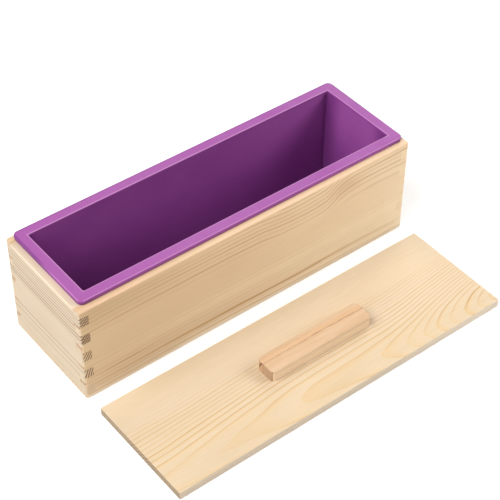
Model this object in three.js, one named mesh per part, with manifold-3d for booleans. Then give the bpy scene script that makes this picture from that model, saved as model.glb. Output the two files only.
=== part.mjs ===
// A soap loaf mould: a finger-jointed pine box, the loose silicone liner that hangs in it by its
// rim, and a pine lid with a beech bar handle, which lies flat beside the box.
//
// Millimetres, +Z up. The origin is the centre of the box's underside. +X runs along the loaf, and
// the lid lies towards -Y.

import * as THREE from "three";
import { mergeVertices } from "three/addons/utils/BufferGeometryUtils.js";
import Module from "manifold-3d";

// The box. The four walls stand on a full-size bottom board.
const boxLength = 280;
const boxWidth = 88;
const wallHeight = 76.2;
const wallThickness = 7;
const bottomThickness = 3.6;
const fingerHeight = 8; // one finger of the corner joint
const leastTopFinger = 3; // the top finger takes what is left over, and is never less than this
const sandedCorner = 2; // radius of the upright corners
const glueLine = 0.1; // between glued faces

// Brads through the bottom board into the walls above it.
const bradLength = 15;
const bradRadius = 0.6;
const bradHeadRadius = 0.95;
const bradHeadHeight = 0.8;
const bradSetBelow = 0.5; // how far a head is punched in
const bradHoleGap = 0.12;
const bradsPerLongWall = 4;
const bradEndInset = 26; // from the end of a long wall to its first brad

// The liner. It is a little smaller than the box inside, so that it lifts out, and it has been
// pushed towards the back right corner.
const linerClearance = 2.3;
const linerWall = 1.65;
const linerFloor = 2.2;
const linerFloorGap = 0.4; // under the liner, which hangs by its rim
const linerRestX = 0.75; // what is left of the clearance on the right
const linerRestY = 0.2; // and at the back
const rimThickness = 3.5;
const rimInset = 3; // from the box's outside to the rim's, with the liner in the middle
const rimCorner = 4;
const rimSeatGap = 0.1;
const rimEdge = 0.5; // easing of the rim's upper and lower edges
const bodyCorner = 3.2; // upright outer corners of the liner's body
const bodyBottomEdge = 2.4;
const cavityCorner = 1.2;
const cavityFloorEdge = 1; // radius where the cavity's walls meet its floor

// The lid board. It covers the box, and lies in front of it.
const lidShorter = 2; // how much shorter than the box it is cut
const lidThickness = 6;
const lidCorner = 0.8;
const lidToBox = 16;
const lidAside = 0.8; // it lies this far towards -X

// The handle bar, glued and screwed on top of the lid.
const handleLength = 87.5;
const handleWidth = 17.4;
const handleHeight = 9.2;
const handleCorner = 4;
const handleEdge = 0.5;
const handleOffCentreX = 7.5; // it was fixed this far towards +X
const handleOffCentreY = 0.8; // and towards +Y

// The two countersunk wood screws, driven up through the lid into the handle.
const screwEndInset = 15; // from the handle's end to the screw's axis
const screwLength = 13;
const screwHeadRadius = 3;
const screwHeadHeight = 2;
const screwThreadRadius = 1.5;
const screwCoreRadius = 1.05;
const threadPitch = 1.3;
const screwPointLength = 2.6;
const screwSetBelow = 0.4;
const screwHoleGap = 0.15;
const driveSlotLength = 3.4;
const driveSlotWidth = 0.8;
const driveSlotDepth = 1.1;

const ROUND = 16; // facets of a small round piece
const ARC = 4; // steps in a rounded corner
const CUT_THROUGH = 1; // how far a cutter runs past the face that it opens

const wasm = await Module();
wasm.setup();

// ---- geometry helpers ----

function toSolid(geometry) {
  const plain = geometry.clone();
  plain.deleteAttribute("normal");
  plain.deleteAttribute("uv");
  const merged = mergeVertices(plain, 1e-4);
  return new wasm.Manifold(new wasm.Mesh({
    numProp: 3,
    vertProperties: Float32Array.from(merged.attributes.position.array),
    triVerts: Uint32Array.from(merged.index.array),
  }));
}

function toGeometry(solid) {
  const made = solid.getMesh();
  const geometry = new THREE.BufferGeometry();
  geometry.setAttribute("position", new THREE.BufferAttribute(made.vertProperties, 3));
  geometry.setIndex(new THREE.BufferAttribute(made.triVerts, 1));
  geometry.computeVertexNormals();
  return geometry;
}

function subtractAll(geometry, cutters) {
  let solid = toSolid(geometry);
  for (const cutter of cutters) {
    solid = solid.subtract(toSolid(cutter));
  }
  return toGeometry(solid);
}

function roundedRectangle(length, width, radius) {
  const x = length / 2;
  const y = width / 2;
  const shape = new THREE.Shape();
  shape.moveTo(-x + radius, -y);
  shape.lineTo(x - radius, -y);
  shape.absarc(x - radius, -y + radius, radius, -Math.PI / 2, 0, false);
  shape.lineTo(x, y - radius);
  shape.absarc(x - radius, y - radius, radius, 0, Math.PI / 2, false);
  shape.lineTo(-x + radius, y);
  shape.absarc(-x + radius, y - radius, radius, Math.PI / 2, Math.PI, false);
  shape.lineTo(-x, -y + radius);
  shape.absarc(-x + radius, -y + radius, radius, Math.PI, 1.5 * Math.PI, false);
  return shape;
}

// A plate with rounded upright corners, its underside at z = 0, whose upper and lower edges are
// eased by `edge`.
function roundedPlate(length, width, height, corner, edge = 0) {
  const plate = new THREE.ExtrudeGeometry(roundedRectangle(length, width, corner), {
    depth: height - 2 * edge,
    curveSegments: ARC,
    bevelEnabled: edge > 0,
    bevelSize: edge,
    bevelOffset: -edge,
    bevelThickness: edge,
    bevelSegments: 2,
  });
  plate.translate(0, 0, edge);
  return plate;
}

// A turned piece from points [radius, z], standing on the Z axis.
function turned(points) {
  const profile = points.map(([radius, z]) => new THREE.Vector2(radius, z));
  const geometry = new THREE.LatheGeometry(profile, ROUND);
  geometry.rotateX(Math.PI / 2);
  return geometry;
}

function piece(name, geometry, finish, x, y, z) {
  const mesh = new THREE.Mesh(geometry, new THREE.MeshStandardMaterial(finish));
  mesh.name = name;
  mesh.position.set(x, y, z);
  return mesh;
}

const pineFinish = { color: 0xe2c194, roughness: 0.62, metalness: 0 };
const linerFinish = { color: 0x9a4fa3, roughness: 0.45, metalness: 0 };
const beechFinish = { color: 0xdfb28a, roughness: 0.58, metalness: 0 };
const steelFinish = { color: 0xa9a9ab, roughness: 0.35, metalness: 1 };

// ---- the box's corner joints ----

// The fingers of a corner from the bottom up, as [z0, z1, belongs to an end wall].
function cornerFingers() {
  const whole = Math.floor((wallHeight - leastTopFinger) / fingerHeight);
  const fingers = [];
  for (let i = 0; i <= whole; i += 1) {
    const top = i === whole ? wallHeight : (i + 1) * fingerHeight;
    fingers.push([i * fingerHeight, top, i % 2 === 0]);
  }
  return fingers;
}

// The outline of a wall seen square on: its length along x, its height along y, and at both ends
// the fingers that are its own. The long walls' fingers give up the glue line on both sides.
function wallOutline(length, isEndWall) {
  const tip = length / 2;
  const shoulder = tip - wallThickness - glueLine;
  const gap = isEndWall ? 0 : glueLine;
  const side = [];
  for (const [z0, z1, ofEndWall] of cornerFingers()) {
    if (ofEndWall === isEndWall) {
      const low = z0 > 0 ? z0 + gap : z0;
      const high = z1 < wallHeight ? z1 - gap : z1;
      if (low > 0) {
        side.push([shoulder, low]);
      }
      side.push([tip, low], [tip, high]);
      if (high < wallHeight) {
        side.push([shoulder, high]);
      }
    } else if (z0 === 0) {
      side.push([shoulder, z0]);
    } else if (z1 === wallHeight) {
      side.push([shoulder, z1]);
    }
  }
  const right = side.map(([x, z]) => new THREE.Vector2(x, z));
  const left = [...side].reverse().map(([x, z]) => new THREE.Vector2(-x, z));
  return new THREE.Shape([...right, ...left]);
}

// ---- brads ----

const bradTip = bradSetBelow + bradLength;
const headTop = bradSetBelow + bradHeadHeight;

function bradGeometry() {
  return turned([
    [0, bradSetBelow],
    [bradHeadRadius, bradSetBelow],
    [bradHeadRadius, headTop],
    [bradRadius, headTop],
    [bradRadius, bradTip - 2 * bradRadius],
    [0, bradTip],
  ]);
}

// What a brad needs, as one cutter from below the bottom board to just past the brad's point.
function bradHole() {
  const r = bradRadius + bradHoleGap;
  const head = bradHeadRadius + bradHoleGap;
  return turned([
    [0, -CUT_THROUGH],
    [head, -CUT_THROUGH],
    [head, headTop + bradHoleGap],
    [r, headTop + bradHoleGap],
    [r, bradTip + bradHoleGap],
    [0, bradTip + bradHoleGap],
  ]);
}

// Every brad's place on the underside.
function bradPlaces() {
  const y = (boxWidth - wallThickness) / 2;
  const x = (boxLength - wallThickness) / 2;
  const first = -boxLength / 2 + bradEndInset;
  const step = (boxLength - 2 * bradEndInset) / (bradsPerLongWall - 1);
  const places = [];
  for (let i = 0; i < bradsPerLongWall; i += 1) {
    places.push([`front_${i + 1}`, first + i * step, -y]);
    places.push([`back_${i + 1}`, first + i * step, y]);
  }
  places.push(["left", -x, 0], ["right", x, 0]);
  return places;
}

const bradHoles = bradPlaces().map(([, x, y]) => bradHole().translate(x, y, 0));

// ---- the box ----

const wallTop = bottomThickness + glueLine + wallHeight;

// A wall, standing in its place: stood up from its outline, turned, and moved. Its outer edges are
// sanded to the box's own rounded corners, and the brads that reach it have their holes.
function wall(length, isEndWall, turn, x, y) {
  const flat = new THREE.ExtrudeGeometry(wallOutline(length, isEndWall), {
    depth: wallThickness,
    bevelEnabled: false,
  });
  flat.translate(0, 0, -wallThickness / 2);
  flat.rotateX(Math.PI / 2);
  flat.rotateZ(turn);
  flat.translate(x, y, bottomThickness + glueLine);
  const sanded = roundedPlate(boxLength, boxWidth, wallTop + CUT_THROUGH, sandedCorner);
  const rounded = toGeometry(toSolid(flat).intersect(toSolid(sanded)));
  return subtractAll(rounded, bradHoles);
}

const longWallY = (boxWidth - wallThickness) / 2;
const endWallX = (boxLength - wallThickness) / 2;

const box = new THREE.Group();
box.add(piece("front_wall", wall(boxLength, false, 0, 0, -longWallY), pineFinish, 0, 0, 0));
box.add(piece("back_wall", wall(boxLength, false, 0, 0, longWallY), pineFinish, 0, 0, 0));
box.add(piece("left_end_wall", wall(boxWidth, true, Math.PI / 2, -endWallX, 0), pineFinish, 0, 0, 0));
box.add(piece("right_end_wall", wall(boxWidth, true, Math.PI / 2, endWallX, 0), pineFinish, 0, 0, 0));

const bottom = roundedPlate(boxLength, boxWidth, bottomThickness, sandedCorner);
box.add(piece("bottom_board", subtractAll(bottom, bradHoles), pineFinish, 0, 0, 0));

for (const [name, x, y] of bradPlaces()) {
  box.add(piece(`bottom_brad_${name}`, bradGeometry(), steelFinish, x, y, 0));
}

// ---- the silicone liner ----

const insideLength = boxLength - 2 * wallThickness;
const insideWidth = boxWidth - 2 * wallThickness;
const bodyLength = insideLength - 2 * linerClearance;
const bodyWidth = insideWidth - 2 * linerClearance;
const bodyBottom = bottomThickness + linerFloorGap;
const rimBottom = wallTop + rimSeatGap;
const rimTop = rimBottom + rimThickness;

function linerGeometry() {
  const bodyHeight = rimTop - bodyBottom - rimEdge;
  const body = roundedPlate(bodyLength, bodyWidth, bodyHeight, bodyCorner, bodyBottomEdge);
  const rim = roundedPlate(
    boxLength - 2 * rimInset,
    boxWidth - 2 * rimInset,
    rimThickness,
    rimCorner,
    rimEdge,
  );
  const cavityLength = bodyLength - 2 * linerWall;
  const cavityWidth = bodyWidth - 2 * linerWall;
  const cavityHeight = rimTop - bodyBottom - linerFloor + CUT_THROUGH + cavityFloorEdge;
  const cavity = roundedPlate(
    cavityLength,
    cavityWidth,
    cavityHeight,
    cavityCorner,
    cavityFloorEdge,
  );
  rim.translate(0, 0, rimBottom - bodyBottom);
  cavity.translate(0, 0, linerFloor);
  return toGeometry(toSolid(body).add(toSolid(rim)).subtract(toSolid(cavity)));
}

const liner = new THREE.Group();
liner.position.set(linerClearance - linerRestX, linerClearance - linerRestY, bodyBottom);
liner.add(piece("silicone_liner", linerGeometry(), linerFinish, 0, 0, 0));

// ---- the lid, its handle and screws ----

// The drive recess is a cross of two slots in the head's flat face, which looks down.
function screwGeometry() {
  const z0 = screwSetBelow;
  const headEnd = z0 + screwHeadHeight;
  const pointStart = z0 + screwLength - screwPointLength;
  const points = [
    [0, z0],
    [screwHeadRadius, z0],
    [screwCoreRadius, headEnd],
  ];
  const threads = Math.floor((pointStart - headEnd) / threadPitch);
  const start = pointStart - threads * threadPitch;
  for (let i = 0; i < threads; i += 1) {
    const z = start + i * threadPitch;
    points.push([screwCoreRadius, z], [screwThreadRadius, z + threadPitch / 2]);
  }
  points.push([screwCoreRadius, pointStart], [0, z0 + screwLength]);
  const slots = [
    new THREE.BoxGeometry(driveSlotLength, driveSlotWidth, 2 * driveSlotDepth),
    new THREE.BoxGeometry(driveSlotWidth, driveSlotLength, 2 * driveSlotDepth),
  ];
  for (const slot of slots) {
    slot.translate(0, 0, z0);
  }
  return subtractAll(turned(points), slots);
}

// The countersink and the clearance hole in the lid, and the pilot hole in the handle, as one.
function screwHole() {
  const shank = screwThreadRadius + screwHoleGap;
  const head = screwHeadRadius + screwHoleGap;
  const end = screwSetBelow + screwLength + screwHoleGap;
  const slope = screwHeadHeight / (screwHeadRadius - screwCoreRadius);
  return turned([
    [0, -CUT_THROUGH],
    [head, -CUT_THROUGH],
    [head, screwSetBelow + screwHoleGap],
    [shank, screwSetBelow + screwHoleGap + (head - shank) * slope],
    [shank, end],
    [0, end],
  ]);
}

function handleGeometry() {
  const tall = handleHeight + handleEdge;
  const bar = roundedPlate(handleLength, handleWidth, tall, handleCorner, handleEdge);
  bar.translate(0, 0, -handleEdge);
  const below = new THREE.BoxGeometry(2 * handleLength, 2 * handleWidth, 2 * handleEdge);
  below.translate(0, 0, -handleEdge);
  return subtractAll(bar, [below]);
}

const lidLength = boxLength - lidShorter;
const lidWidth = boxWidth;
const screwFromMiddle = handleLength / 2 - screwEndInset;
const screwPlaces = [
  ["handle_screw_left", handleOffCentreX - screwFromMiddle],
  ["handle_screw_right", handleOffCentreX + screwFromMiddle],
];
const screwHoles = screwPlaces.map(([, x]) => screwHole().translate(x, handleOffCentreY, 0));
const lidBoard = roundedPlate(lidLength, lidWidth, lidThickness, lidCorner);
const handle = handleGeometry();
handle.translate(handleOffCentreX, handleOffCentreY, lidThickness + glueLine);

const lid = new THREE.Group();
lid.position.set(-lidAside, -(boxWidth + lidWidth) / 2 - lidToBox, 0);
lid.add(piece("lid_board", subtractAll(lidBoard, screwHoles), pineFinish, 0, 0, 0));
lid.add(piece("lid_handle", subtractAll(handle, screwHoles), beechFinish, 0, 0, 0));
for (const [name, x] of screwPlaces) {
  lid.add(piece(name, screwGeometry(), steelFinish, x, handleOffCentreY, 0));
}

// ---- the whole ----

const mould = new THREE.Group();
mould.add(box, liner, lid);

export default mould;
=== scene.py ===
# A soap loaf mould: a pine box, the silicone liner that hangs in it by its rim, and a pine lid
# with a beech handle, which lies flat in front. Metres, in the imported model's own frame.
import math
import random

import bmesh
import bpy
import numpy as np
from mathutils import Matrix, Vector


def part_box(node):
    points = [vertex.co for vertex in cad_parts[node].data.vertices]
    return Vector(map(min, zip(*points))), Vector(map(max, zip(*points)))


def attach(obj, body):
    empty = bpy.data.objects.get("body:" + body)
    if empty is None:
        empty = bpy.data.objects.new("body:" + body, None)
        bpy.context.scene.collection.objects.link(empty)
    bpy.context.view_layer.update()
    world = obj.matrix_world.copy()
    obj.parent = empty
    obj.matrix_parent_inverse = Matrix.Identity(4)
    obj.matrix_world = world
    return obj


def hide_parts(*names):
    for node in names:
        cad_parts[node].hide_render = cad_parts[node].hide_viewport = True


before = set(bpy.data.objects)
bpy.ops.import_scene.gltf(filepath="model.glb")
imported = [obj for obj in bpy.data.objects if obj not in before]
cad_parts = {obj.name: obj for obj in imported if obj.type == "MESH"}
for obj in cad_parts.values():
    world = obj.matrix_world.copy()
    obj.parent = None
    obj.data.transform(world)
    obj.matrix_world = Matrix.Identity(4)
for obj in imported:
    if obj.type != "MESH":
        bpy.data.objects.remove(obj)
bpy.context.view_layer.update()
MM = 0.001

# ------------------------------------------------------------------------------------------------
# Bottom board: one thin sawn pine board under the four walls, glued and nailed to them from below.
# Its outer edges were sanded flush with the walls and softened after the box was put together.
# ------------------------------------------------------------------------------------------------


def step(tree, operation, *terms):
    """One sum in a finish, on numbers or on what earlier steps gave."""
    node = tree.nodes.new("ShaderNodeMath")
    node.operation = operation
    for socket, term in zip(node.inputs, terms):
        if isinstance(term, (int, float)):
            socket.default_value = term
        else:
            tree.links.new(term, socket)
    return node.outputs[0]


def fade(tree, value, start, end):
    """Softly from 0 at start to 1 at end."""
    node = tree.nodes.new("ShaderNodeMapRange")
    node.interpolation_type = "SMOOTHSTEP"
    tree.links.new(value, node.inputs["Value"])
    node.inputs["From Min"].default_value = start
    node.inputs["From Max"].default_value = end
    return node.outputs["Result"]


def band(tree, value, centre, half_width):
    """1 on a centre line, and softly down to 0 this far to either side of it."""
    off_line = step(tree, "ABSOLUTE", step(tree, "SUBTRACT", value, centre))
    return fade(tree, off_line, half_width, 0.0)


def cloud(tree, place, sizes, detail=2.0, seed=0.0):
    """Soft random lumps of these sizes, in mm, along the three directions of a place."""
    joined = tree.nodes.new("ShaderNodeCombineXYZ")
    for socket, distance, size in zip(joined.inputs, place, sizes):
        tree.links.new(step(tree, "MULTIPLY_ADD", distance, 1 / size, seed), socket)
    noise = tree.nodes.new("ShaderNodeTexNoise")
    noise.inputs["Scale"].default_value = 1.0
    noise.inputs["Detail"].default_value = detail
    tree.links.new(joined.outputs[0], noise.inputs["Vector"])
    return noise.outputs


def tint(tree, share, ground, colour, how="MIX"):
    """Lays a colour over a ground."""
    node = tree.nodes.new("ShaderNodeMix")
    node.data_type = "RGBA"
    node.blend_type = how
    for socket, term in zip((node.inputs[0], node.inputs[6], node.inputs[7]), (share, ground, colour)):
        if isinstance(term, (int, float)):
            socket.default_value = term
        elif isinstance(term, tuple):
            socket.default_value = (*term, 1.0)
        else:
            tree.links.new(term, socket)
    return node.outputs[2]


def place_in_mm(tree, axes):
    """Distances in mm along the grain, across the board and through its thickness."""
    where = tree.nodes.new("ShaderNodeTexCoord")
    split = tree.nodes.new("ShaderNodeSeparateXYZ")
    tree.links.new(where.outputs["Object"], split.inputs[0])
    return [step(tree, "MULTIPLY", split.outputs[axis], 1 / MM) for axis in axes]


def surface(tree, colour, roughness, height, relief):
    """Puts colour, roughness and a fine relief, in metres, on the shader."""
    shader = tree.nodes["Principled BSDF"]
    bump = tree.nodes.new("ShaderNodeBump")
    bump.inputs["Strength"].default_value = 0.6
    bump.inputs["Distance"].default_value = relief
    tree.links.new(height, bump.inputs["Height"])
    tree.links.new(bump.outputs[0], shader.inputs["Normal"])
    tree.links.new(colour, shader.inputs["Base Color"])
    tree.links.new(roughness, shader.inputs["Roughness"])
    return shader


def curve(tree, value, stops):
    """A smooth line through (place, amount) stops."""
    low, high = stops[0][0], stops[-1][0]
    most = max(abs(amount) for place, amount in stops) or 1.0
    share = tree.nodes.new("ShaderNodeMapRange")
    tree.links.new(value, share.inputs["Value"])
    share.inputs["From Min"].default_value = low
    share.inputs["From Max"].default_value = high
    node = tree.nodes.new("ShaderNodeFloatCurve")
    node.mapping.use_clip = False
    points = node.mapping.curves[0].points
    points[0].location = (0, stops[0][1] / most)
    points[1].location = (1, stops[-1][1] / most)
    for place, amount in stops[1:-1]:
        points.new((place - low) / (high - low), amount / most)
    node.mapping.update()
    tree.links.new(share.outputs["Result"], node.inputs["Value"])
    return step(tree, "MULTIPLY", node.outputs[0], most)


def year_rings(tree, place, heart, ring, bend, bent, inner, seed):
    """Rings round the tree's heart line: the year that grew at each place, how steeply the rings
    meet the board's face there, and the wander across the board that stains share with them."""
    along, across, depth = place
    sway = tree.nodes.new("ShaderNodeSeparateColor")
    tree.links.new(cloud(tree, place, (110, 45, 45), 1.0, seed)["Color"], sway.inputs[0])
    wandered = step(tree, "MULTIPLY_ADD", step(tree, "SUBTRACT", sway.outputs[0], 0.5), 4.0, across)
    bending = step(tree, "MULTIPLY", curve(tree, along, bend), fade(tree, across, *bent))
    aside = step(tree, "SUBTRACT", wandered, bending)
    aside = step(tree, "SUBTRACT", aside, curve(tree, along, [stop[:2] for stop in heart]))
    below = step(tree, "MULTIPLY_ADD", step(tree, "SUBTRACT", sway.outputs[1], 0.5), 4.0, depth)
    below = step(tree, "SUBTRACT", below, curve(tree, along, [stop[::2] for stop in heart]))
    squares = step(tree, "ADD", step(tree, "MULTIPLY", aside, aside), step(tree, "MULTIPLY", below, below))
    radius = step(tree, "SQRT", squares)
    inner_radius, widening = inner
    inside = step(tree, "MAXIMUM", step(tree, "SUBTRACT", inner_radius, radius), 0.0)
    years = step(tree, "MULTIPLY_ADD", inside, widening, step(tree, "DIVIDE", radius, ring))
    ripple = step(tree, "SUBTRACT", cloud(tree, place, (60, 8, 8), 2.0, seed + 3)["Fac"], 0.5)
    years = step(tree, "MULTIPLY_ADD", ripple, 0.45, years)
    steepness = step(tree, "DIVIDE", step(tree, "ABSOLUTE", aside), radius)
    return years, steepness, step(tree, "MULTIPLY_ADD", ripple, 3.0, wandered)


def pine(name, axes, heart, ring, colours, bend=((-140, 0), (140, 0)), bent=(-1, 0), inner=(0, 0),
         shows=((0, 1), (1, 1)), stains_and_painted_light=(), softness=0.5, contrast=0.6, late=0.7, seed=0.0, rays=None,
         end_grain=False):
    """Sawn pine. Its year rings lie round the tree's heart line, which passes the (along, across,
    depth) stops of heart, and are wider inside the inner radius. Past the bent lines across the
    board they bend by these amounts along it, and shows is how strongly they show across it.
    Late is the share of a year gone when its dark wood starts. Rays are fine dark lines that cross
    the rings, by strengths across the board."""
    pale, warm, late_wood, brown = colours
    made = bpy.data.materials.new(name)
    made.use_nodes = True
    tree = made.node_tree
    place = place_in_mm(tree, axes)
    along, across, depth = place
    years, steepness, wandering = year_rings(tree, place, heart, ring, bend, bent, inner, seed)

    season = step(tree, "FRACT", years)
    luck = tree.nodes.new("ShaderNodeTexWhiteNoise")
    luck.noise_dimensions = "1D"
    tree.links.new(step(tree, "ADD", step(tree, "FLOOR", years), seed + 11.3), luck.inputs["W"])
    least = 0.75 if end_grain else 0.35
    showing = step(tree, "MULTIPLY_ADD", luck.outputs["Value"], 1 - least, least)
    showing = step(tree, "MULTIPLY", showing, curve(tree, across, shows))
    soft = step(tree, "MULTIPLY", fade(tree, season, 0.3, 0.95), fade(tree, season, 1.0, 0.95))
    soft = step(tree, "MULTIPLY", soft, showing)
    line = step(tree, "MULTIPLY", fade(tree, season, late, 0.88), fade(tree, season, 1.0, 0.94))
    line = step(tree, "MULTIPLY", line, showing)
    if not end_grain:
        line = step(tree, "MULTIPLY", line, fade(tree, steepness, 0.0, 0.65))

    tone = cloud(tree, place, (120, 26, 26), 2.0, seed + 7)["Fac"]
    colour = tint(tree, fade(tree, tone, 0.35, 0.65), pale, warm)
    colour = tint(tree, step(tree, "MULTIPLY", soft, softness), colour, late_wood)
    colour = tint(tree, step(tree, "MULTIPLY", line, contrast), colour, brown)
    # Stains, and patches of painted light and painted shade, each laid over the colour.
    for (patch_along, patch_across), (length, width), amount, patch_colour in stains_and_painted_light:
        patch = step(tree, "MULTIPLY", band(tree, along, patch_along, length),
                     band(tree, wandering, patch_across, width))
        colour = tint(tree, step(tree, "MULTIPLY", patch, amount), colour, patch_colour)
    if rays:
        slanted = step(tree, "MULTIPLY", step(tree, "ADD", across, depth), 0.62)
        ray = fade(tree, step(tree, "PINGPONG", slanted, 0.5), 0.2, 0.42)
        ray = step(tree, "MULTIPLY", ray, curve(tree, across, rays))
        colour = tint(tree, step(tree, "MULTIPLY", ray, 0.7), colour, brown)
    fibre = cloud(tree, place, (0.5, 0.35, 0.35) if end_grain else (16, 0.7, 0.7), 3.0, seed)["Fac"]
    grey = tree.nodes.new("ShaderNodeCombineColor")
    shade = step(tree, "MULTIPLY_ADD", fibre, 0.16, 0.92)
    for socket in grey.inputs[:3]:
        tree.links.new(shade, socket)
    colour = tint(tree, 1.0, colour, grey.outputs[0], "MULTIPLY")
    canal = fade(tree, cloud(tree, place, (6, 0.4, 0.4), 1.0, seed + 5)["Fac"], 0.68, 0.78)
    colour = tint(tree, step(tree, "MULTIPLY", canal, 0.25), colour, brown)
    roughness = step(tree, "MULTIPLY_ADD", fibre, 0.22, 0.5)
    height = step(tree, "MULTIPLY_ADD", line, -0.35, fibre)
    shader = surface(tree, colour, roughness, height, 0.12 * MM)
    shader.inputs["Specular IOR Level"].default_value = 0.35
    return made


def saw_lines(stops, widest):
    """Every stop, and even steps between the stops no wider than widest."""
    stops = sorted({round(stop, 7) for stop in stops})
    lines = []
    for start, end in zip(stops, stops[1:]):
        count = math.ceil((end - start) / widest)
        lines += [start + (end - start) * i / count for i in range(count)]
    return np.array(lines + [stops[-1]])


def both_ends(low, high, offsets):
    """Stops at these distances in from both ends."""
    return [low + offset for offset in offsets] + [high - offset for offset in offsets]


def board(name, lines, finishes, end_axis, shaped, edge_axis=None, kept=None):
    """A closed board over the kept cells between the saw lines. The second finish goes on its ends,
    across end_axis, and the third on its edges, across edge_axis."""
    middles = np.meshgrid(*[(line[1:] + line[:-1]) / 2 for line in lines], indexing="ij")
    wood = np.pad(kept(*middles) if kept else np.ones_like(middles[0], bool), 1)
    squares, ends = [], []
    for axis in range(3):
        first, second = (axis + 1) % 3, (axis + 2) % 3
        change = np.diff(wood.astype(int), axis=axis)
        for outward in (-1, 1):
            cells = np.argwhere(change == -outward) - 1
            cells[:, axis] += 1
            square = np.repeat(cells[:, None, :], 4, axis=1)
            square[:, 1:3, first] += 1
            square[:, 2:4, second] += 1
            squares.append(square[:, ::outward])
            ends += [{end_axis: 1, edge_axis: 2}.get(axis, 0)] * len(cells)
    squares = np.concatenate(squares)
    keys = squares @ np.array([10 ** 8, 10 ** 4, 1])
    found, faces = np.unique(keys, return_inverse=True)
    points = np.stack([lines[0][found // 10 ** 8], lines[1][found // 10 ** 4 % 10 ** 4],
                       lines[2][found % 10 ** 4]], axis=1)
    shaped(points)
    mesh = bpy.data.meshes.new(name)
    mesh.from_pydata(points.tolist(), [], faces.reshape(-1, 4).tolist())
    for finish in finishes:
        mesh.materials.append(finish)
    mesh.polygons.foreach_set("material_index", ends)
    piece = bpy.data.objects.new(name, mesh)
    bpy.context.scene.collection.objects.link(piece)
    return piece


def round_corners(points, half_length, half_width, radius, centre=(0.0, 0.0)):
    """Rounds the upright corners of a board."""
    flat = points[:, :2] - centre
    core = np.array([half_length, half_width]) - radius
    over = np.abs(flat) - core
    at_corner = (over > 1e-9).all(axis=1)
    part = over[at_corner]
    part *= (part.max(axis=1) / np.hypot(*part.T))[:, None]
    points[at_corner, :2] = np.sign(flat[at_corner]) * (core + part) + centre


def round_edge(points, half_length, half_width, corner, edge_height, radius, centre=(0.0, 0.0)):
    """Rounds over the outer edge that runs round a board at one height."""
    flat = points[:, :2] - centre
    over = np.maximum(np.abs(flat) - (np.array([half_length, half_width]) - corner), 0)
    reach = np.hypot(*over.T)
    sideways = radius - (corner - reach)
    rise = radius - np.abs(points[:, 2] - edge_height)
    near = (sideways > 1e-9) & (rise > 1e-9)
    keep = np.maximum(sideways, rise)[near] / np.hypot(sideways, rise)[near]
    outward = (np.sign(flat) * over)[near] / reach[near][:, None]
    points[near, :2] -= outward * (sideways[near] * (1 - keep))[:, None]
    points[near, 2] -= np.sign(edge_height - points[near, 2]) * rise[near] * (1 - keep)


def settle(piece, smooth_up_to=35):
    """Makes the modifiers' result the piece's own mesh, smooth over its rounded parts."""
    ready = piece.evaluated_get(bpy.context.evaluated_depsgraph_get())
    mesh = bpy.data.meshes.new_from_object(ready)
    piece.modifiers.clear()
    piece.data = mesh
    mesh.shade_smooth()
    mesh.set_sharp_from_angle(angle=math.radians(smooth_up_to))


def soften(piece, width):
    """Takes the sharpness off the arrises that are still square."""
    bevel = piece.modifiers.new("arris", "BEVEL")
    bevel.width = width
    bevel.segments = 2
    bevel.limit_method = "ANGLE"
    bevel.angle_limit = math.radians(40)
    settle(piece)


def turned(name, outline, places, sides=16):
    """Round solids turned to an outline of (radius, height), from one end on the axis to the other."""
    form = bmesh.new()
    for place in places:
        rings = []
        for radius, height in outline:
            if radius == 0:
                rings.append([form.verts.new(place + Vector((0, 0, height)))])
                continue
            ring = []
            for i in range(sides):
                turn = math.tau * i / sides
                corner = Vector((radius * math.cos(turn), radius * math.sin(turn), height))
                ring.append(form.verts.new(place + corner))
            rings.append(ring)
        for lower, upper in zip(rings, rings[1:]):
            for i in range(sides):
                corners = [lower[i % len(lower)], lower[(i + 1) % len(lower)],
                           upper[(i + 1) % len(upper)], upper[i % len(upper)]]
                form.faces.new(list(dict.fromkeys(corners)))
    mesh = bpy.data.meshes.new(name)
    form.to_mesh(mesh)
    form.free()
    piece = bpy.data.objects.new(name, mesh)
    bpy.context.scene.collection.objects.link(piece)
    return piece


def drill(piece, outline, places):
    """Bores the same hole at each place."""
    bit = turned("bit", outline, places)
    hole = piece.modifiers.new("hole", "BOOLEAN")
    hole.object = bit
    hole.solver = "EXACT"
    settle(piece)
    bpy.data.objects.remove(bit)


def fit(piece, body, slot, *nodes):
    """The piece moves with its body and stands for its parts of the model. Its slot is not used."""
    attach(piece, body)
    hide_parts(*nodes)


pine_brown = (0.42, 0.23, 0.10)
foot_look = dict(axes=(0, 1, 2), heart=((-140, 5, 36), (140, 12, 30)), ring=2.6, seed=4.0,
                 colours=((0.72, 0.58, 0.41), (0.69, 0.54, 0.36), (0.62, 0.44, 0.26), pine_brown))
foot_end = dict(foot_look, colours=((0.58, 0.47, 0.34), (0.55, 0.43, 0.30), (0.48, 0.34, 0.20), pine_brown))
box_corner = 2.0 * MM
foot_edge = 1.5 * MM
sanded_arris = 0.12 * MM

foot_low, foot_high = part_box("bottom_board")
half_length, half_width = foot_high.x, foot_high.y
near_edge = [0, 0.4 * MM, 0.8 * MM, 1.2 * MM, 1.6 * MM, 2.0 * MM, 3.2 * MM]

brad_nodes = sorted(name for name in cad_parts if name.startswith("bottom_brad"))
brad_middles = [sum(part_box(node), Vector()) / 2 for node in brad_nodes]
brad_places = [Vector((middle.x, middle.y, 0)) for middle in brad_middles]
brad_low, brad_high = (corner.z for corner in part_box(brad_nodes[0]))
brad_bore = 0.72 * MM
head_bore = 1.07 * MM
head_sunk = 1.4 * MM


def shape_foot(points):
    """Rounds the board's corners and its lower edge."""
    round_corners(points, half_length, half_width, box_corner)
    round_edge(points, half_length, half_width, box_corner, 0, foot_edge)


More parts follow.
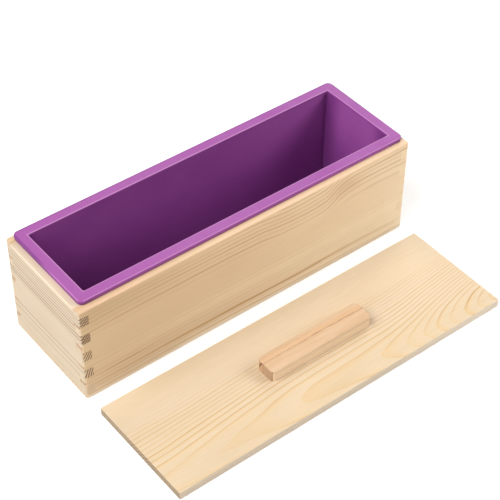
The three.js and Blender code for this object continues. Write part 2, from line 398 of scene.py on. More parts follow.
foot = board(
    "bottom_board",
    [saw_lines(both_ends(foot_low.x, foot_high.x, near_edge), 5 * MM),
     saw_lines(both_ends(foot_low.y, foot_high.y, near_edge), 4 * MM),
     saw_lines([foot_low.z + offset for offset in near_edge] + [foot_high.z], 1 * MM)],
    [pine("foot_pine", **foot_look), pine("foot_pine_end", **foot_end, end_grain=True)],
    end_axis=0,
    shaped=shape_foot,
)
drill(foot, [(0, -MM), (head_bore, -MM), (head_bore, head_sunk), (brad_bore, head_sunk),
             (brad_bore, foot_high.z + MM), (0, foot_high.z + MM)], brad_places)
soften(foot, sanded_arris)
fit(foot, "box", "pine", "bottom_board")

# ------------------------------------------------------------------------------------------------
# Long walls: the front and back pine boards, with fingers cut in their ends that are glued between
# those of the end walls. The top edge was rounded over by hand once the corners were together.
# ------------------------------------------------------------------------------------------------
wall_low, wall_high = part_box("front_wall")
wall = wall_high.y - wall_low.y
finger = 8.0 * MM
glue = 0.1 * MM
top_edge = 0.8 * MM
most_back = 0.12 * MM
socket_sides = [wall - glue / 2, wall + glue / 2, wall + MM]
finger_count = round((wall_high.z - wall_low.z) / finger)
finger_lines = [wall_low.z + finger * i for i in range(1, finger_count)]


def wall_heights():
    """Saw lines up a wall: both sides of each glue line, and close together at the top edge."""
    stops = [wall_low.z, wall_low.z + MM] + [wall_high.z - offset for offset in near_edge]
    for height in finger_lines:
        stops += [height + offset for offset in (-0.8 * MM, -glue / 2, glue / 2, 0.8 * MM)]
    return saw_lines(stops, 3 * MM)


def finger_cells(out_from_socket, height, ours):
    """True where a wall has wood: all of its middle, and at its ends only our fingers."""
    number = np.clip(np.floor((height - wall_low.z) / finger), 0, finger_count - 1).astype(int)
    to_line = np.abs(np.subtract.outer(height, np.array(finger_lines))).min(axis=-1)
    return (out_from_socket < 0) | ((number % 2 == ours) & (to_line > glue / 2))


def sanded_wall(points, along, half, seed):
    """The fingers' ends stand back by uneven hairs, and the box's outer edges are rounded."""
    luck = random.Random(seed)
    for number in range(finger_count):
        for side in (-1, 1):
            back = luck.uniform(0, most_back)
            low = wall_low.z + finger * number
            mine = (points[:, 2] > low) & (points[:, 2] < low + finger)
            mine &= points[:, along] * side > half - 0.01 * MM
            points[mine, along] -= side * back
    round_corners(points, half_length, half_width, box_corner)
    round_edge(points, half_length, half_width, box_corner, wall_high.z, top_edge)


wall_brad_bore = [(0, 0), (brad_bore, 0), (brad_bore, brad_high + 0.1 * MM), (0, brad_high + 0.1 * MM)]


def stain_or_painted_light(at, size, amount, colour):
    """A patch or line of another tone, used both for real stains and for painted light and shade: its middle
    along and across the board, how far it reaches to either side of that, how strong it is, and its colour."""
    return at, size, amount, colour


dark_line = (0.34, 0.175, 0.075)
golden_line = (0.58, 0.31, 0.10)
painted_shade_pine = (0.57, 0.39, 0.21)
painted_light_pine = (0.86, 0.68, 0.455)
front_stains_and_painted_light = (
    # Painted shade: the left half of the front made darker.
    stain_or_painted_light((-140, 40), (210, 70), 0.6, painted_shade_pine),
    stain_or_painted_light((60, 27), (260, 10), 0.55, (0.84, 0.675, 0.44)),
    # Painted shade under the liner's rim, at the front's top left.
    stain_or_painted_light((-135, 76), (130, 26), 0.6, (0.47, 0.31, 0.16)),
    stain_or_painted_light((-60, 30), (90, 22), 0.15, (0.84, 0.66, 0.43)),
    # Painted light: the right half of the front made paler.
    stain_or_painted_light((130, 30), (150, 60), 0.5, painted_light_pine),
    stain_or_painted_light((90, 12), (220, 30), 0.6, (0.88, 0.71, 0.47)),
    stain_or_painted_light((82, 70), (26, 12), 0.4, (0.55, 0.30, 0.17)),
    stain_or_painted_light((-106, 17.5), (30, 0.8), 0.8, dark_line),
    stain_or_painted_light((0, 10.5), (190, 2.6), 0.6, golden_line),
    stain_or_painted_light((10, 10.2), (170, 0.9), 0.7, (0.38, 0.19, 0.06)),
    stain_or_painted_light((0, 4.6), (170, 0.8), 0.6, (0.45, 0.24, 0.10)),
    stain_or_painted_light((0, 80), (400, 1.2), 0.6, (0.76, 0.51, 0.33)),
)
front_look = dict(
    axes=(0, 2, 1), heart=((-140, 45, -56), (140, 45, -56)), ring=3.3, seed=2.0, contrast=0.75,
    colours=((0.75, 0.565, 0.36), (0.72, 0.525, 0.325), (0.63, 0.40, 0.20), dark_line),
    bend=((-140, -1), (-84, 1.2), (0, 0), (40, -3.5), (60, -2.5), (90, 8), (140, 9)), bent=(40, 60),
    shows=((0, 0.8), (14, 0.8), (22, 0.55), (34, 0.4), (37, 0), (52, 0.05), (62, 1), (77, 1), (80, 0)),
    stains_and_painted_light=front_stains_and_painted_light,
)
finger_end_stains = (
    stain_or_painted_light((-140, 66.5), (40, 2.2), 1.0, (0.33, 0.20, 0.11)),
    stain_or_painted_light((-140, 47), (40, 3.4), 0.85, (0.38, 0.22, 0.12)),
    stain_or_painted_light((-140, 29), (40, 1.8), 0.85, (0.38, 0.22, 0.12)),
    stain_or_painted_light((-140, 14), (40, 2.0), 1.0, (0.33, 0.20, 0.11)),
)
front_end = dict(
    front_look, shows=((0, 0.4), (80, 0.4)), stains_and_painted_light=finger_end_stains,
    colours=((0.57, 0.46, 0.325), (0.54, 0.42, 0.29), (0.50, 0.35, 0.20), (0.38, 0.20, 0.09)),
)
back_look = dict(
    axes=(0, 2, 1), heart=((-140, 18, 100), (140, 30, 90)), ring=2.8, seed=9.0,
    colours=((0.74, 0.58, 0.38), (0.71, 0.52, 0.32), (0.66, 0.42, 0.20), pine_brown),
)
for node, look, end_look in (("front_wall", front_look, front_end), ("back_wall", back_look, front_end)):
    low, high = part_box(node)
    long_wall = board(
        node,
        [saw_lines(both_ends(low.x, high.x, near_edge + socket_sides), 5 * MM),
         saw_lines(both_ends(low.y, high.y, near_edge), 1.5 * MM),
         wall_heights()],
        [pine(node + "_pine", **look), pine(node + "_pine_end", **end_look, end_grain=True)],
        end_axis=0,
        kept=lambda x, y, z: finger_cells(np.abs(x) - (half_length - wall), z, 1),
        shaped=lambda points: sanded_wall(points, 0, half_length, 5),
    )
    own_brads = [place for place in brad_places if place.y * low.y > 0 and abs(place.x) < half_length - wall]
    drill(long_wall, wall_brad_bore, own_brads)
    soften(long_wall, sanded_arris)
    fit(long_wall, "box", "pine", node)

# ------------------------------------------------------------------------------------------------
# End walls: two short pine boards whose fingers show as end grain on the box's long faces. They
# were cut from other boards than the long walls, with closer year rings.
# ------------------------------------------------------------------------------------------------
# Painted light: the left end wall's top and the band just below it made paler, against the shade under the
# liner's rim.
painted_light_top = stain_or_painted_light((0, 82), (200, 6), 0.9, (0.80, 0.645, 0.475))
dark_fingers = (
    stain_or_painted_light((0, 72), (90, 7), 0.4, (0.24, 0.13, 0.07)),
    stain_or_painted_light((0, 55.5), (90, 7), 0.4, (0.24, 0.13, 0.07)),
)
left_look = dict(
    axes=(1, 2, 0), heart=((-44, -5, -58), (44, -5, -58)), ring=1.9, seed=5.0,
    contrast=1.0, late=0.55, softness=0.75,
    colours=((0.54, 0.44, 0.315), (0.51, 0.40, 0.28), (0.40, 0.26, 0.14), (0.11, 0.055, 0.025)),
    shows=((0, 0.15), (17, 0.25), (24, 0.8), (31, 0.5), (35, 0), (50, 0.05), (58, 1), (77, 1), (80, 0)),
    stains_and_painted_light=(painted_light_top,),
)
left_end = dict(
    left_look, late=0.35, shows=((0, 0.05), (16, 0.05), (20, 1), (80, 1)),
    colours=((0.62, 0.445, 0.27), (0.59, 0.41, 0.24), (0.38, 0.22, 0.12), (0.09, 0.04, 0.018)),
    stains_and_painted_light=dark_fingers, rays=((0, 0), (44, 0), (51, 1), (80, 1)),
)
right_look = dict(
    axes=(1, 2, 0), heart=((-44, 30, 190), (44, 34, 195)), ring=2.3, seed=6.0,
    colours=((0.69, 0.56, 0.40), (0.66, 0.51, 0.35), (0.58, 0.41, 0.24), (0.34, 0.20, 0.10)),
)
right_end = dict(
    right_look, shows=((0, 0.2), (80, 0.3)),
    colours=((0.83, 0.65, 0.43), (0.81, 0.62, 0.40), (0.72, 0.50, 0.28), (0.40, 0.22, 0.10)),
)
end_walls = (("left_end_wall", left_look, left_end), ("right_end_wall", right_look, right_end))
for node, look, end_look in end_walls:
    low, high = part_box(node)
    end_wall = board(
        node,
        [saw_lines(both_ends(low.x, high.x, near_edge), 1.5 * MM),
         saw_lines(both_ends(low.y, high.y, near_edge + socket_sides), 5 * MM),
         wall_heights()],
        [pine(node + "_pine", **look), pine(node + "_pine_end", **end_look, end_grain=True)],
        end_axis=1,
        kept=lambda x, y, z: finger_cells(np.abs(y) - (half_width - wall), z, 0),
        shaped=lambda points: sanded_wall(points, 1, half_width, 8),
    )
    own_brads = [place for place in brad_places if place.x * low.x > 0 and abs(place.x) > half_length - wall]
    drill(end_wall, wall_brad_bore, own_brads)
    soften(end_wall, sanded_arris)
    fit(end_wall, "box", "pine_end_wall", node)

# ------------------------------------------------------------------------------------------------
# Brads: ten thin steel nails punched up through the bottom board into the walls. Each has a small
# domed head just below the wood and a cut point.
# ------------------------------------------------------------------------------------------------


def steel(name, colour, lump):
    """Drawn or plated steel, with fine scratches and a patchy dullness."""
    made = bpy.data.materials.new(name)
    made.use_nodes = True
    tree = made.node_tree
    place = place_in_mm(tree, (0, 1, 2))
    patches = cloud(tree, place, (lump, lump, lump), 3.0)["Fac"]
    scratches = cloud(tree, place, (0.15, 0.15, 2.5), 2.0)["Fac"]
    shaded = tint(tree, fade(tree, patches, 0.35, 0.7), colour, tuple(part * 0.6 for part in colour))
    roughness = step(tree, "MULTIPLY_ADD", patches, 0.35, 0.2)
    shader = surface(tree, shaded, roughness, scratches, 0.03 * MM)
    shader.inputs["Metallic"].default_value = 1.0
    return made


brad_steel = steel("brad_steel", (0.55, 0.54, 0.52), 0.8)
shank = 0.6 * MM
head = 0.95 * MM
head_height = 0.8 * MM
point = 1.6 * MM
for node, place in zip(brad_nodes, brad_places):
    brad = turned(node, [(0, brad_low), (head * 0.6, brad_low + 0.05 * MM), (head, brad_low + 0.25 * MM),
                         (head, brad_low + head_height * 0.7), (shank, brad_low + head_height),
                         (shank, brad_high - point), (shank * 0.15, brad_high - 0.1 * MM), (0, brad_high)],
                  [place])
    brad.data.materials.append(brad_steel)
    settle(brad)
    fit(brad, "box", "brad_steel", node)

# ------------------------------------------------------------------------------------------------
# Liner: a one-piece silicone trough moulded with a thick flat rim. It stands loose in the box and
# hangs by the rim on the walls' top edges.
# ------------------------------------------------------------------------------------------------
liner_low, liner_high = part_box("silicone_liner")
liner_centre = (liner_low + liner_high) / 2
rim_half = Vector((liner_high.x - liner_centre.x, liner_high.y - liner_centre.y))
rim_corner = 4.0 * MM
rim_height = 3.5 * MM
rim_foot = liner_high.z - rim_height
body_inset = 6.3 * MM
body_corner = 3.2 * MM
liner_wall = 1.65 * MM
liner_floor = 2.2 * MM
cavity_corner = 1.2 * MM
foot_round = 2.4 * MM
under_rim_round = 0.4 * MM
over_rim_round = 0.6 * MM
lip_round = 0.5 * MM
floor_round = 1.0 * MM
wall_slack = 0.35 * MM
rim_wave = 0.08 * MM
arc_steps = 8
side_steps = 60
end_steps = 18


def liner_ring(inset, corner, height):
    """Points round the liner at one height, this far in from the rim's outer side."""
    half_x, half_y = rim_half.x - inset, rim_half.y - inset
    corner = max(corner, 0.02 * MM)
    quarters = ((1, 1), (-1, 1), (-1, -1), (1, -1), (1, 1))
    centres = [Vector((x * (half_x - corner), y * (half_y - corner))) for x, y in quarters]
    ring = []
    for quarter in range(4):
        for i in range(arc_steps + 1):
            turn = math.pi / 2 * (quarter + i / arc_steps)
            outward = Vector((math.cos(turn), math.sin(turn))) * corner
            ring.append(centres[quarter] + outward)
        steps = (side_steps, end_steps)[quarter % 2]
        next_arc = centres[quarter + 1] + outward
        ring += [ring[-1].lerp(next_arc, i / steps) for i in range(1, steps)]
    return [Vector((liner_centre.x + x, liner_centre.y + y, height)) for x, y in ring]


def quarter_round(inset, height, corner, radius, inward, upward, level_first):
    """(inset, corner, height) steps round one eased edge of the liner."""
    steps = []
    for i in range(4):
        turn = math.pi / 2 * i / 3
        along, across = radius * math.sin(turn), radius * (1 - math.cos(turn))
        side, rise = (along, across) if level_first else (across, along)
        steps.append((inset + inward * side, corner - inward * side, height + upward * rise))
    return steps


body_foot = liner_low.z
floor_top = body_foot + liner_floor
cavity_inset = body_inset + liner_wall
rim_top = liner_high.z
middle = rim_half.y - 1 * MM
# The section runs from the middle of the underside, out and up the body, round the rim, down the
# cavity and back to the middle of its floor.
section = [(middle, 0, body_foot), (30 * MM, 0, body_foot), (18 * MM, 0, body_foot)]
section += [(11 * MM, 1 * MM, body_foot)]
section += quarter_round(
    body_inset + foot_round, body_foot, body_corner - foot_round, foot_round, -1, 1, True)
for share in (0.15, 0.3, 0.45, 0.6, 0.75, 0.9, 0.99, 1):
    section.append((body_inset, body_corner, body_foot + (rim_foot - body_foot) * share))
section += [(body_inset - 0.4 * MM, body_corner, rim_foot), (1.5 * MM, rim_corner, rim_foot)]
section += quarter_round(
    under_rim_round, rim_foot, rim_corner - under_rim_round, under_rim_round, -1, 1, True)
section += [(0, rim_corner, rim_foot + rim_height / 2)]
section += quarter_round(0, rim_top - over_rim_round, rim_corner, over_rim_round, 1, 1, False)
section += [(1.5 * MM, 3 * MM, rim_top), (4 * MM, 2 * MM, rim_top), (6.5 * MM, cavity_corner, rim_top)]
section += quarter_round(cavity_inset - lip_round, rim_top, cavity_corner + lip_round, lip_round, 1, -1, True)
for share in (0.02, 0.1, 0.22, 0.34, 0.46, 0.58, 0.7, 0.82, 0.93):
    section.append((cavity_inset, cavity_corner, rim_top - (rim_top - floor_top) * share))
section += quarter_round(cavity_inset, floor_top + floor_round, cavity_corner, floor_round, 1, -1, False)
section += [(11 * MM, 0, floor_top), (18 * MM, 0, floor_top), (30 * MM, 0, floor_top), (middle, 0, floor_top)]

form = bmesh.new()
rings = []
for inset, corner, height in section:
    rings.append([form.verts.new(point) for point in liner_ring(inset, corner, height)])
for lower, upper in zip(rings, rings[1:]):
    for i in range(len(lower)):
        j = (i + 1) % len(lower)
        form.faces.new((lower[i], lower[j], upper[j], upper[i]))
form.faces.new(list(reversed(rings[0])))
form.faces.new(rings[-1])
for vertex in form.verts:
    x, y, z = vertex.co
    depth = (rim_foot - z) / (rim_foot - body_foot)
    if 0 < depth:
        slack = math.sin(math.pi * min(depth, 1)) * (1 - ((x - liner_centre.x) / rim_half.x) ** 2)
        vertex.co.y -= wall_slack * slack * math.copysign(1, y - liner_centre.y)
    if z > rim_foot - 0.1 * MM:
        vertex.co.z += rim_wave * (0.5 + 0.5 * math.sin(x * 31 + 1.3) * math.cos(y * 40))
mesh = bpy.data.meshes.new("silicone_liner")
form.to_mesh(mesh)
form.free()

silicone = bpy.data.materials.new("silicone")
silicone.use_nodes = True
tree = silicone.node_tree
place = place_in_mm(tree, (0, 1, 2))
# The next three colours are painted shade in the cavity's corners, a painted highlight on the rim's edges,
# and painted shade on the rim's far outer edge.
painted_shade_purple = (0.12, 0.02, 0.14)
painted_highlight_lilac = (0.58, 0.28, 0.54)
painted_shade_plum = (0.16, 0.03, 0.18)

# The body: slightly mottled, with painted shade deeper down the cavity and painted light on the rim's top,
# more so towards its left end.
mottle = cloud(tree, place, (22, 22, 22), 3.0)["Fac"]
colour = tint(tree, fade(tree, mottle, 0.3, 0.7), (0.262, 0.056, 0.27), (0.282, 0.064, 0.286))
height = step(tree, "SUBTRACT", place[2], rim_top / MM)
# Painted shade: darker down the cavity.
colour = tint(tree, step(tree, "MULTIPLY", fade(tree, height, -12, -75), 0.35), colour, (0.13, 0.022, 0.15))
# Painted light: the rim's top paler, most of all at its left end.
painted_light_rim = tint(tree, fade(tree, place[0], 70, -60), (0.283, 0.046, 0.278), (0.314, 0.077, 0.302))
colour = tint(tree, fade(tree, height, -0.25, -0.05), colour, painted_light_rim)

# Distances past the cavity's ends and sides, in mm. Both are 0 in a corner of the cavity.
past_cavity = []
for axis in (0, 1):
    from_middle = step(tree, "ABSOLUTE", step(tree, "SUBTRACT", place[axis], liner_centre[axis] / MM))
    past_cavity.append(step(tree, "SUBTRACT", from_middle, (rim_half[axis] - cavity_inset) / MM))
past_end, past_side = past_cavity
inside = fade(tree, height, -0.8, -2.5)

# Painted light high at the right end of the cavity, and painted shade in its corners.
painted_light = step(tree, "MULTIPLY", fade(tree, place[0], 0, 105), fade(tree, height, -52, -6))
off_corner = step(tree, "MAXIMUM", fade(tree, past_end, -1, -6), fade(tree, past_side, -4, -20))
painted_light = step(tree, "MULTIPLY", painted_light, step(tree, "MULTIPLY", inside, off_corner))
colour = tint(tree, step(tree, "MULTIPLY", painted_light, 0.85), colour, (0.345, 0.09, 0.35))
shaded = step(tree, "MULTIPLY", fade(tree, past_end, -6.5, -0.3), fade(tree, past_side, -3, -0.6))
shaded_end = step(tree, "MULTIPLY", fade(tree, past_side, -17, -0.5), fade(tree, past_end, -3, -0.6))
shaded = step(tree, "MULTIPLY", step(tree, "MAXIMUM", shaded, shaded_end), inside)
colour = tint(tree, step(tree, "MULTIPLY", shaded, 0.5), colour, painted_shade_purple)

# Painted highlights as pale lines along the rim's edges, and painted shade on the outer edge of its far side.
on_rim = step(tree, "MAXIMUM", past_end, past_side)
rim_width = cavity_inset / MM
nearer = fade(tree, place[1], 12, -12)
painted_highlight = step(tree, "MULTIPLY", band(tree, on_rim, rim_width - 0.3, 0.6), nearer)
painted_highlight = step(tree, "MAXIMUM", painted_highlight, band(tree, on_rim, 0.4, 0.75))
painted_highlight = step(tree, "MULTIPLY", painted_highlight, fade(tree, height, -0.5, -0.1))
outer = fade(tree, on_rim, rim_width - 1.6, rim_width - 0.7)
outer = step(tree, "MULTIPLY", outer, step(tree, "SUBTRACT", 1.0, nearer))
colour = tint(tree, step(tree, "MULTIPLY", outer, 0.7), colour, painted_shade_plum)
colour = tint(tree, step(tree, "MULTIPLY", painted_highlight, 0.6), colour, painted_highlight_lilac)

dust = cloud(tree, place, (1.2, 1.2, 1.2), 3.0)["Fac"]
skin = cloud(tree, place, (0.35, 0.35, 0.35), 2.0)["Fac"]
colour = tint(tree, step(tree, "MULTIPLY", fade(tree, dust, 0.55, 0.8), 0.12), colour, (0.55, 0.34, 0.55))
roughness = step(tree, "MULTIPLY_ADD", mottle, 0.16, 0.36)
relief = step(tree, "MULTIPLY_ADD", dust, 0.6, skin)
shader = surface(tree, colour, roughness, relief, 0.06 * MM)
shader.inputs["Specular IOR Level"].default_value = 0.36
liner = bpy.data.objects.new("silicone_liner", mesh)
bpy.context.scene.collection.objects.link(liner)
mesh.materials.append(silicone)
settle(liner, 50)
fit(liner, "liner", "silicone", "silicone_liner")

# ------------------------------------------------------------------------------------------------
# Lid board: a flat-sawn pine board cut to cover the box, planed and sanded, with its edges just
# eased. Two countersunk holes from below take the handle's screws.
# ------------------------------------------------------------------------------------------------
lid_low, lid_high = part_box("lid_board")
lid_centre = (lid_low + lid_high) / 2
lid_half = lid_high - lid_centre
lid_corner = 0.8 * MM
lid_edge = 0.3 * MM
lid_arris = 0.1 * MM
lid_near_edge = [0, 0.15 * MM, 0.3 * MM, 0.8 * MM, 2 * MM]
lid_flat = (lid_centre.x, lid_centre.y)
screw_nodes = ("handle_screw_left", "handle_screw_right")
screw_boxes = [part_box(node) for node in screw_nodes]
screw_places = [Vector(((low.x + high.x) / 2, (low.y + high.y) / 2, 0)) for low, high in screw_boxes]
screw_low, screw_high = screw_boxes[0][0].z, screw_boxes[0][1].z
screw_head = (screw_boxes[0][1].x - screw_boxes[0][0].x) / 2
screw_head_height = 2.0 * MM
screw_bore = 1.65 * MM

lid_stains_and_painted_light = (
    stain_or_painted_light((-138, -62), (60, 24), 0.6, (0.74, 0.585, 0.41)),
    stain_or_painted_light((80, -80), (70, 22), 0.5, (0.72, 0.56, 0.385)),
    stain_or_painted_light((-100, -140), (90, 20), 0.55, (0.57, 0.43, 0.27)),
    stain_or_painted_light((0, -140), (50, 14), 0.4, (0.58, 0.43, 0.26)),
    stain_or_painted_light((138, -66), (46, 40), 0.5, (0.57, 0.45, 0.30)),
    # Painted light: a paler patch beside the handle, against the handle's shadow on the lid.
    stain_or_painted_light((57, -104), (16, 13), 0.5, (0.80, 0.64, 0.46)),
)
lid_look = dict(
    axes=(0, 1, 2), inner=(20, 0.15), ring=2.4, softness=0.6, contrast=0.7, seed=1.0,
    heart=((-140, -137, -29.8), (-100, -137, -28.4), (-32, -137, -24.9), (36, -138, -22.8),
           (60, -141, -20.5), (100, -143, -12), (138, -143, -1)),
    shows=((-150, 1), (-94, 1), (-88, 0.15), (-60, 0)),
    colours=((0.66, 0.525, 0.37), (0.64, 0.50, 0.33), (0.66, 0.44, 0.19), (0.45, 0.27, 0.12)),
    stains_and_painted_light=lid_stains_and_painted_light,
)
lid_end = dict(
    lid_look, stains_and_painted_light=(),
    colours=((0.33, 0.25, 0.16), (0.31, 0.23, 0.145), (0.26, 0.17, 0.09), (0.18, 0.10, 0.05)),
)
lid_sawn = dict(
    # Painted light: the right half of the lid's front edge made paler.
    lid_look, stains_and_painted_light=(stain_or_painted_light((120, -148), (110, 40), 0.6, (0.72, 0.61, 0.48)),),
    colours=((0.60, 0.50, 0.38), (0.58, 0.47, 0.35), (0.52, 0.39, 0.25), (0.38, 0.26, 0.15)),
)


def shape_lid(points):
    """Rounds the lid's corners a little and eases its upper and lower edges."""
    round_corners(points, lid_half.x, lid_half.y, lid_corner, lid_flat)
    for edge_height in (lid_high.z, lid_low.z):
        round_edge(points, lid_half.x, lid_half.y, lid_corner, edge_height, lid_edge, lid_flat)


lid = board(
    "lid_board",
    [saw_lines(both_ends(lid_low.x, lid_high.x, lid_near_edge), 4 * MM),
     saw_lines(both_ends(lid_low.y, lid_high.y, lid_near_edge), 3 * MM),
     saw_lines(both_ends(lid_low.z, lid_high.z, lid_near_edge[:3]), 1 * MM)],
    [pine("lid_pine", **lid_look), pine("lid_pine_end", **lid_end, end_grain=True),
     pine("lid_pine_edge", **lid_sawn)],
    end_axis=0,
    edge_axis=1,
    shaped=shape_lid,
)
drill(lid, [(0, -MM), (screw_head + 0.2 * MM, -MM), (screw_head + 0.2 * MM, screw_low + 0.3 * MM),
            (screw_bore, screw_low + screw_head_height + 0.2 * MM),
            (screw_bore, lid_high.z + MM), (0, lid_high.z + MM)], screw_places)
soften(lid, lid_arris)
fit(lid, "lid", "lid_pine", "lid_board")

# ------------------------------------------------------------------------------------------------
# Handle: a small beech bar with rounded corners, glued and screwed on top of the lid from below.
# Beech is pinker than pine, with short brown flecks and here one dark streak along the bar.
# ------------------------------------------------------------------------------------------------
pore_brown = (0.36, 0.19, 0.09)


def beech(name, colours, foot=None, end_grain=False):
    """Close even beech with pore flecks and one darker streak along the bar, and, where foot is given,
    painted light that pales it towards its foot.
    """
    made = bpy.data.materials.new(name)
    made.use_nodes = True
    tree = made.node_tree
    place = place_in_mm(tree, (0, 1, 2))
    across, depth = place[1:]
    clouded = cloud(tree, place, (60, 5, 5), 3.0, 2.0)["Fac"]
    fine = cloud(tree, place, (0.4, 0.3, 0.3) if end_grain else (9, 0.5, 0.5), 3.0)["Fac"]
    colour = tint(tree, fade(tree, clouded, 0.35, 0.68), *colours)
    # Painted light: paler towards the foot, against the shade next to the lid.
    if foot:
        colour = tint(tree, fade(tree, depth, 15.3, 10.5), colour, foot)
    fleck = fade(tree, cloud(tree, place, (1.6, 0.3, 0.3), 1.0, 7.0)["Fac"], 0.62, 0.74)
    colour = tint(tree, step(tree, "MULTIPLY", fleck, 0.35), colour, pore_brown)
    drift = step(tree, "MULTIPLY_ADD", cloud(tree, place, (30, 9, 9), 2.0, 5.0)["Fac"], 2.4, across)
    drift = step(tree, "MULTIPLY_ADD", cloud(tree, place, (5, 2, 2), 2.0, 6.0)["Fac"], 1.2, drift)
    dark = band(tree, drift, -99.5, 0.9)
    broken = fade(tree, cloud(tree, place, (14, 30, 30), 2.0, 3.0)["Fac"], 0.36, 0.66)
    dark = step(tree, "MULTIPLY", dark, step(tree, "MULTIPLY_ADD", broken, 0.6, 0.2))
    colour = tint(tree, dark, colour, (0.36, 0.17, 0.075))
    second = step(tree, "MULTIPLY", band(tree, drift, -95.4, 0.8), step(tree, "SUBTRACT", 1.0, broken))
    colour = tint(tree, step(tree, "MULTIPLY", second, 0.4), colour, (0.36, 0.18, 0.08))
    behind = band(tree, drift, -97.2, 2.6)
    colour = tint(tree, step(tree, "MULTIPLY", behind, 0.5), colour, (0.66, 0.38, 0.19))
    colour = tint(tree, step(tree, "MULTIPLY", fade(tree, fine, 0.4, 0.7), 0.22), colour, (0.50, 0.29, 0.15))
    if end_grain:
        nick = step(tree, "MULTIPLY_ADD", depth, 0.5, across)
        nick = step(tree, "MAXIMUM", band(tree, nick, -92.3, 1.1), band(tree, across, -96.0, 0.9))
        nick = step(tree, "MULTIPLY", nick, fade(tree, depth, 8.0, 9.5))
        colour = tint(tree, nick, colour, (0.07, 0.03, 0.012))
    roughness = step(tree, "MULTIPLY_ADD", fine, 0.2, 0.42)
    shader = surface(tree, colour, roughness, step(tree, "MULTIPLY_ADD", fleck, -0.5, fine), 0.08 * MM)
    shader.inputs["Specular IOR Level"].default_value = 0.4
    return made


bar_low, bar_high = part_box("lid_handle")
bar_centre = (bar_low + bar_high) / 2
bar_half = bar_high - bar_centre
bar_flat = (bar_centre.x, bar_centre.y)
bar_corner = 4.0 * MM
bar_edge = 0.5 * MM
bar_arris = 0.15 * MM
bar_near_edge = [0, 0.25 * MM, 0.5 * MM, 0.9 * MM, 1.6 * MM, 2.4 * MM, 3.2 * MM, 4.0 * MM]
bar_heights = [bar_low.z, bar_low.z + 0.5 * MM, bar_low.z + MM]
bar_heights += [bar_high.z - offset for offset in bar_near_edge[:5]]


def shape_bar(points):
    """Rounds the bar's upright corners and eases its upper edge."""
    round_corners(points, bar_half.x, bar_half.y, bar_corner, bar_flat)
    round_edge(points, bar_half.x, bar_half.y, bar_corner, bar_high.z, bar_edge, bar_flat)


bar = board(
    "lid_handle",
    [saw_lines(both_ends(bar_low.x, bar_high.x, bar_near_edge), 3 * MM),
     saw_lines(both_ends(bar_low.y, bar_high.y, bar_near_edge), 2 * MM),
     saw_lines(bar_heights, 1.5 * MM)],
    [beech("beech", ((0.64, 0.45, 0.285), (0.58, 0.38, 0.22))),
     beech("beech_end", ((0.47, 0.31, 0.20), (0.42, 0.27, 0.16)), end_grain=True),
     # The bar's long sides get a paler copy of the beech as painted light, because they take less light than
     # its top.
     beech("beech_side_painted_light", ((0.77, 0.575, 0.385), (0.72, 0.525, 0.34)), foot=(0.91, 0.705, 0.485))],
    end_axis=0,
    edge_axis=1,
    shaped=shape_bar,
)
drill(bar, [(0, bar_low.z - MM), (screw_bore, bar_low.z - MM), (screw_bore, screw_high + 0.2 * MM),
            (0, screw_high + 0.2 * MM)], screw_places)
soften(bar, bar_arris)
fit(bar, "lid", "beech", "lid_handle")

# ------------------------------------------------------------------------------------------------
# Handle screws: two zinc-plated countersunk wood screws, driven up through the lid into the bar.
# Each has a cross recess in its head, a rolled thread and a gimlet point.
# ------------------------------------------------------------------------------------------------
screw_steel = steel("screw_steel", (0.72, 0.66, 0.48), 1.5)
core = 1.05 * MM
crest = 1.5 * MM
pitch = 1.3 * MM
gimlet = 2.6 * MM
recess_length = 3.4 * MM
recess_width = 0.8 * MM
recess_depth = 1.1 * MM
recess_taper = 0.55
sides = 24


def screw_rings():
    """(radius, height) steps round the screw, from its head up the thread to the gimlet point."""
    rings = []
    for radius, height in ((screw_head * 0.9, screw_low), (screw_head, screw_low + 0.12 * MM),
                           (screw_head, screw_low + 0.3 * MM), (core * 1.15, screw_low + screw_head_height)):
        rings.append([(radius, height)] * sides)
    thread_low = screw_low + screw_head_height
    rows = math.ceil((screw_high - thread_low) / (pitch / 8))
    for i in range(1, rows):
        height = thread_low + (screw_high - thread_low) * i / rows
        taper = min(1, (screw_high - height) / gimlet)
        started = min(1, i / 3)
        ring = []
        for j in range(sides):
            turn = (height / pitch - j / sides) % 1
            ridge = max(0, 1 - abs(turn - 0.5) / 0.3)
            ring.append(((core + (crest - core) * ridge * taper * started) * taper, height))
        rings.append(ring)
    return rings


def threaded_screw(name, place):
    """The screw's closed form, before its recess is struck."""
    form = bmesh.new()
    loops = []
    for ring in screw_rings():
        loop = []
        for j, (radius, height) in enumerate(ring):
            turn = math.tau * j / sides
            point = Vector((radius * math.cos(turn), radius * math.sin(turn), height))
            loop.append(form.verts.new(place + point))
        loops.append(loop)
    for lower, upper in zip(loops, loops[1:]):
        for j in range(sides):
            form.faces.new((lower[j], lower[(j + 1) % sides], upper[(j + 1) % sides], upper[j]))
    form.faces.new(list(reversed(loops[0])))
    tip = form.verts.new(place + Vector((0, 0, screw_high)))
    for j in range(sides):
        form.faces.new((loops[-1][j], loops[-1][(j + 1) % sides], tip))
    mesh = bpy.data.meshes.new(name)
    form.to_mesh(mesh)
    form.free()
    screw = bpy.data.objects.new(name, mesh)
    bpy.context.scene.collection.objects.link(screw)
    return screw


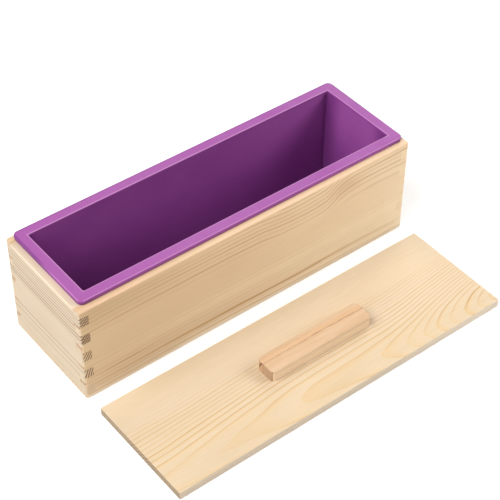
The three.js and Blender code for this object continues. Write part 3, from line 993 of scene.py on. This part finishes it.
def strike_recess(screw, place):
    """Cuts the tapered cross into the screw's head."""
    punch = bmesh.new()
    for lengthwise in (True, False):
        length, width = (recess_length, recess_width) if lengthwise else (recess_width, recess_length)
        for vertex in bmesh.ops.create_cube(punch, size=1)["verts"]:
            deep = vertex.co.z > 0
            vertex.co.x *= length * (recess_taper if deep and lengthwise else 1)
            vertex.co.y *= width * (recess_taper if deep and not lengthwise else 1)
            vertex.co.z = screw_low + (recess_depth if deep else -MM)
            vertex.co += place
    punch_mesh = bpy.data.meshes.new("punch")
    punch.to_mesh(punch_mesh)
    punch.free()
    punch_piece = bpy.data.objects.new("punch", punch_mesh)
    bpy.context.scene.collection.objects.link(punch_piece)
    recess = screw.modifiers.new("recess", "BOOLEAN")
    recess.object = punch_piece
    recess.solver = "EXACT"
    recess.use_self = True
    settle(screw)
    bpy.data.objects.remove(punch_piece)


for node, place in zip(screw_nodes, screw_places):
    screw = threaded_screw(node, place)
    screw.data.materials.append(screw_steel)
    strike_recess(screw, place)
    fit(screw, "lid", "screw_steel", node)

# ------------------------------------------------------------------------------------------------
# Where it stands: a plain pale floor under broad soft studio light, seen from above the lid's left
# end. Nothing here is part of the mould.
# ------------------------------------------------------------------------------------------------
floor_mesh = bpy.data.meshes.new("floor")
reach = 4.0
floor_drop = 0.3 * MM
floor_glow = 0.14
floor_corners = [(x * reach, y * reach, -floor_drop) for x, y in ((-1, -1), (1, -1), (1, 1), (-1, 1))]
floor_mesh.from_pydata(floor_corners, [], [(0, 1, 2, 3)])
paper = bpy.data.materials.new("paper")
paper.use_nodes = True
tree = paper.node_tree
tooth = cloud(tree, place_in_mm(tree, (0, 1, 2)), (0.6, 0.6, 0.6), 2.0)["Fac"]
colour = tint(tree, tooth, (0.90, 0.905, 0.91), (0.915, 0.92, 0.925))
shader = surface(tree, colour, step(tree, "MULTIPLY_ADD", tooth, 0.1, 0.8), tooth, 0.01 * MM)
shader.inputs["Specular IOR Level"].default_value = 0.1
shader.inputs["Emission Color"].default_value = (1.0, 1.0, 1.0, 1.0)
shader.inputs["Emission Strength"].default_value = floor_glow
floor_mesh.materials.append(paper)
floor = bpy.data.objects.new("floor", floor_mesh)
bpy.context.scene.collection.objects.link(floor)

world = bpy.data.worlds.new("studio")
bpy.context.scene.world = world
world.use_nodes = True
surround = world.node_tree.nodes["Background"]
surround.inputs["Color"].default_value = (1.0, 1.0, 1.0, 1.0)
surround.inputs["Strength"].default_value = 0.27


def softbox(name, stands, aims, size, power):
    """A square diffused lamp."""
    lamp = bpy.data.lights.new(name, "AREA")
    lamp.shape = "SQUARE"
    lamp.size = size
    lamp.energy = power
    holder = bpy.data.objects.new(name, lamp)
    holder.location = stands
    holder.rotation_euler = (Vector(aims) - Vector(stands)).to_track_quat("-Z", "Y").to_euler()
    bpy.context.scene.collection.objects.link(holder)


softbox("overhead", (-1.05, -0.05, 1.3), (0, -0.03, 0), 1.3, 27.0)
softbox("left_end", (-1.4, 0.0, 0.75), (0.05, 0, 0.03), 0.4, 3.6)
softbox("right_side", (1.0, -0.75, 0.85), (0.05, -0.05, 0.03), 0.7, 10.5)
softbox("far_right", (1.6, 1.3, 1.6), (0.05, 0, 0), 1.2, 23.0)

bearing = math.radians(-38.436)
height_angle = math.radians(43.18)
level = math.radians(0.61)
stand = Vector((-0.4565, -0.6146, 0.7414))
outward = Vector((math.sin(bearing), -math.cos(bearing), 0))
backward = outward * math.cos(height_angle) + Vector((0, 0, math.sin(height_angle)))
side = (-backward).cross(Vector((0, 0, 1))).normalized()
over = backward.cross(side)
camera_side = side * math.cos(level) + over * math.sin(level)
camera_over = over * math.cos(level) - side * math.sin(level)
camera = bpy.data.cameras.new("camera")
camera.sensor_width = 36.0
camera.lens = 106.17
camera.clip_start = 0.01
camera.clip_end = 50.0
viewer = bpy.data.objects.new("camera", camera)
bpy.context.scene.collection.objects.link(viewer)
turned_to = Matrix((camera_side, camera_over, backward)).transposed().to_4x4()
viewer.matrix_world = Matrix.Translation(stand) @ turned_to
bpy.context.scene.camera = viewer
bpy.context.scene.view_settings.view_transform = "Standard"
